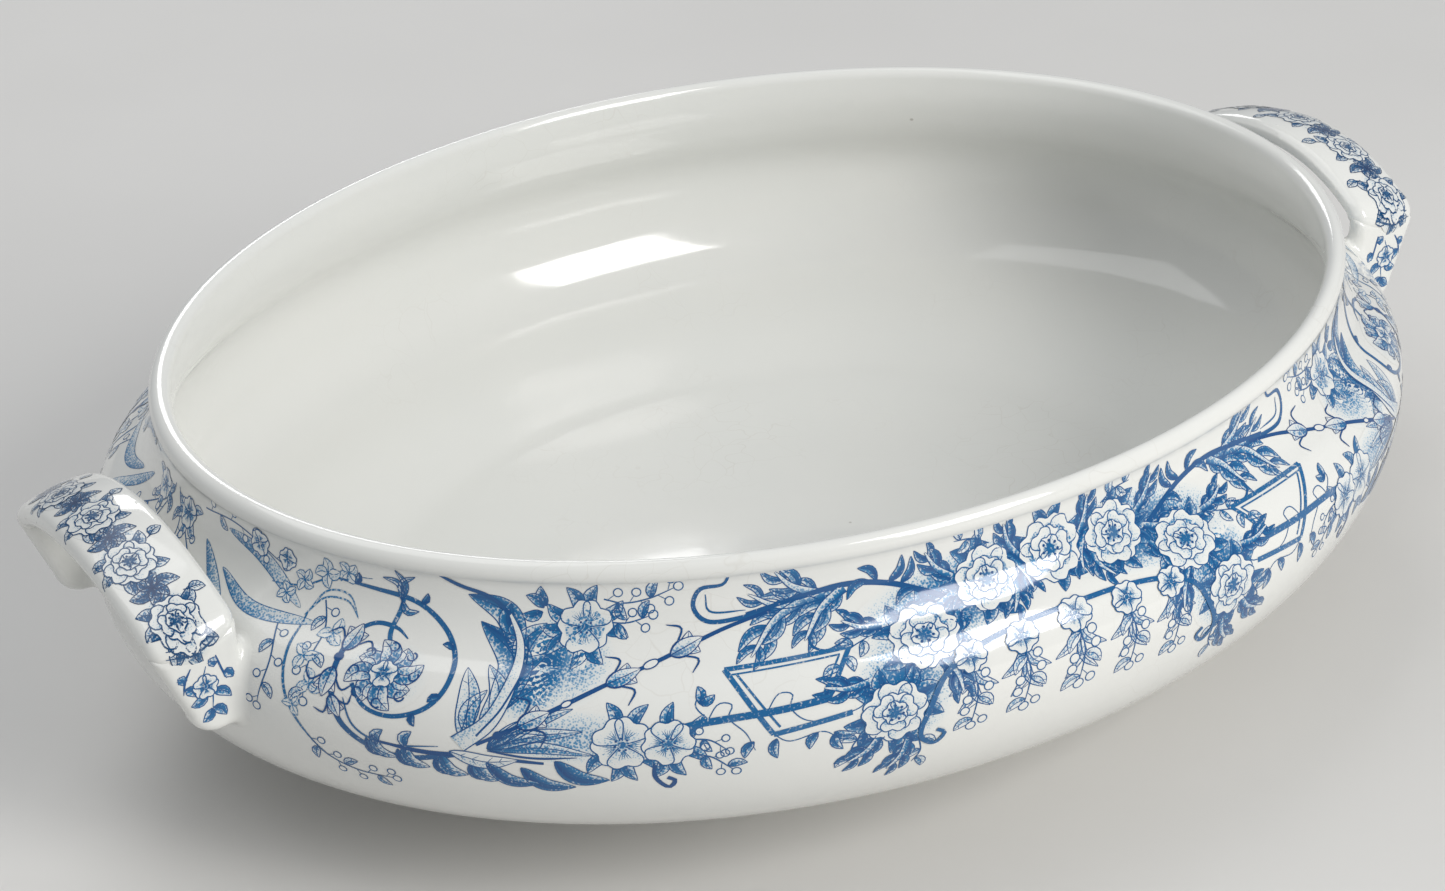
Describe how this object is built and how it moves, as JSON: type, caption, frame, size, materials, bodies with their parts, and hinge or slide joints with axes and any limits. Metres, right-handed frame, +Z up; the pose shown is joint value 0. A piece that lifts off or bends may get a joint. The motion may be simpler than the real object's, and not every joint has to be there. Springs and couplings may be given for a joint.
{
  "type": "oval porcelain serving bowl",
  "caption": "Oval glazed porcelain serving bowl with rolled rim, swelling belly, foot ring and two strap handles on tongue-shaped pads.",
  "frame": {"origin": "middle of the foot ring's resting face, under the centre of the bowl", "axes": "+X along the long side, towards the right handle; +Y away from the front; +Z up, out of the bowl"},
  "size_m": [0.3108, 0.2276, 0.076],
  "materials": {
    "body_porcelain": "clear glaze over white porcelain, blue transfer print on the outside",
    "foot_porcelain": "clear glaze, wiped off where the ring rests",
    "handle_porcelain": "clear glaze over white porcelain, dark blue floral print along the top",
    "pad_porcelain": "clear glaze over white porcelain, small blue sprig"
  },
  "bodies": {
    "root": {"bowl_body": "body_porcelain", "foot_ring": "foot_porcelain", "left_strap": "handle_porcelain", "right_strap": "handle_porcelain", "left_front_pad": "pad_porcelain", "left_back_pad": "pad_porcelain", "right_front_pad": "pad_porcelain", "right_back_pad": "pad_porcelain"}
  },
  "joints": []
}
